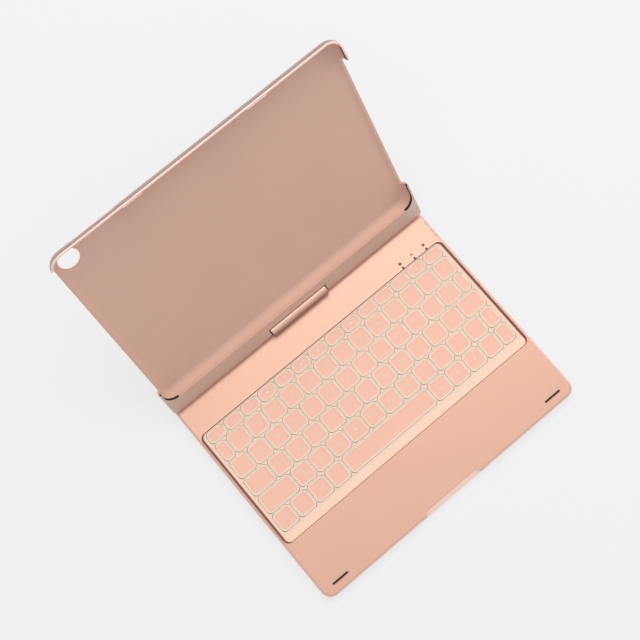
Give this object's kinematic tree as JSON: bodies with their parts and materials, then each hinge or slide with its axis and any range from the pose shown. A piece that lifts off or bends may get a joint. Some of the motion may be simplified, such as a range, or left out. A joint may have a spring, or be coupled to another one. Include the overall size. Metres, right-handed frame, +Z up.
{
  "type": "tablet keyboard case",
  "caption": "Rose gold folding case for a tablet: a thin keyboard half with a key recess, and a tilting shell that holds the tablet.",
  "frame": {"origin": "middle of the open case's footprint, at desk level", "axes": "+Z up, -Y towards the typist, +X to the typist's right along the hinge axis"},
  "size_m": [0.244, 0.2828, 0.1671],
  "materials": {
    "rose_anodised": "satin anodised rose gold",
    "rose_painted": "satin rose gold coat",
    "rose_plastic": "fine matte moulding in rose gold",
    "key_plastic": "matte rose caps with pale see-through edges",
    "black_rubber": "matte",
    "silicone": "soft translucent",
    "steel": "plain rolled",
    "screw_steel": "zinc plated",
    "clear_film": "printed polyester film",
    "light_plastic": "clear acrylic",
    "smoke_plastic": "smoked",
    "led_white": "white strip with yellow lamps",
    "amber_film": "polyimide film",
    "board_green": "solder mask",
    "black_plastic": "matte",
    "foil": "laminated foil pouch"
  },
  "bodies": {
    "keyboard_half": {"top_cover": "rose_anodised", "bottom_cover": "rose_plastic", "rubber_feet": "black_rubber", "case_screws": "screw_steel", "front_bumpers": "black_rubber", "light_pipes": "smoke_plastic", "key_frame": "rose_plastic", "dome_sheet": "silicone", "membrane": "clear_film", "support_plate": "steel", "light_guide": "light_plastic", "backlight_strip": "led_white", "ribbon_cable": "amber_film", "control_board": "board_green", "board_chips": "black_plastic", "usb_socket": "steel", "switch_body": "black_plastic", "battery_pack": "foil", "battery_tape": "amber_film", "board_screws": "screw_steel", "hinge_barrel": "rose_painted", "barrel_bushes": "black_plastic", "friction_clips": "steel", "barrel_screws": "screw_steel"},
    "tablet_shell": {"shell_tray": "rose_plastic", "corner_pads": "black_rubber", "hinge_leaves": "steel", "leaf_screws": "screw_steel", "hinge_covers": "rose_plastic", "cover_screws": "screw_steel", "tilt_shaft": "steel"},
    "power_switch_knob": {"power_slider": "black_plastic"},
    "keys_function_row_body": {"keys_function_row": "key_plastic"},
    "keys_number_row_body": {"keys_number_row": "key_plastic"},
    "keys_tab_row_body": {"keys_tab_row": "key_plastic"},
    "keys_caps_row_body": {"keys_caps_row": "key_plastic"},
    "keys_shift_row_body": {"keys_shift_row": "key_plastic"},
    "keys_bottom_row_body": {"keys_bottom_row": "key_plastic"},
    "space_bar_body": {"space_bar": "key_plastic"}
  },
  "joints": [
    {"name": "shell_tilt", "type": "hinge", "parent": "keyboard_half", "child": "tablet_shell", "pos_m": [0, 0.03961, 0.0122], "axis": [1, 0, 0], "range_deg": [0, 122.9]},
    {"name": "power_slide", "type": "slide", "parent": "keyboard_half", "child": "power_switch_knob", "axis": [0, -1, 0], "range_m": [0, 0.0038]},
    {"name": "keys_function_row_press", "type": "slide", "parent": "keyboard_half", "child": "keys_function_row_body", "axis": [0, 0, -1], "range_m": [0, 0.0012], "stiffness_N_per_m": 350, "springref_m": -0.0006, "deforming": ["dome_sheet"]},
    {"name": "keys_number_row_press", "type": "slide", "parent": "keyboard_half", "child": "keys_number_row_body", "axis": [0, 0, -1], "range_m": [0, 0.0012], "stiffness_N_per_m": 350, "springref_m": -0.0006, "deforming": ["dome_sheet"]},
    {"name": "keys_tab_row_press", "type": "slide", "parent": "keyboard_half", "child": "keys_tab_row_body", "axis": [0, 0, -1], "range_m": [0, 0.0012], "stiffness_N_per_m": 350, "springref_m": -0.0006, "deforming": ["dome_sheet"]},
    {"name": "keys_caps_row_press", "type": "slide", "parent": "keyboard_half", "child": "keys_caps_row_body", "axis": [0, 0, -1], "range_m": [0, 0.0012], "stiffness_N_per_m": 350, "springref_m": -0.0006, "deforming": ["dome_sheet"]},
    {"name": "keys_shift_row_press", "type": "slide", "parent": "keyboard_half", "child": "keys_shift_row_body", "axis": [0, 0, -1], "range_m": [0, 0.0012], "stiffness_N_per_m": 350, "springref_m": -0.0006, "deforming": ["dome_sheet"]},
    {"name": "keys_bottom_row_press", "type": "slide", "parent": "keyboard_half", "child": "keys_bottom_row_body", "axis": [0, 0, -1], "range_m": [0, 0.0012], "stiffness_N_per_m": 350, "springref_m": -0.0006, "deforming": ["dome_sheet"]},
    {"name": "space_bar_press", "type": "slide", "parent": "keyboard_half", "child": "space_bar_body", "axis": [0, 0, -1], "range_m": [0, 0.0012], "stiffness_N_per_m": 350, "springref_m": -0.0006, "deforming": ["dome_sheet"]}
  ]
}
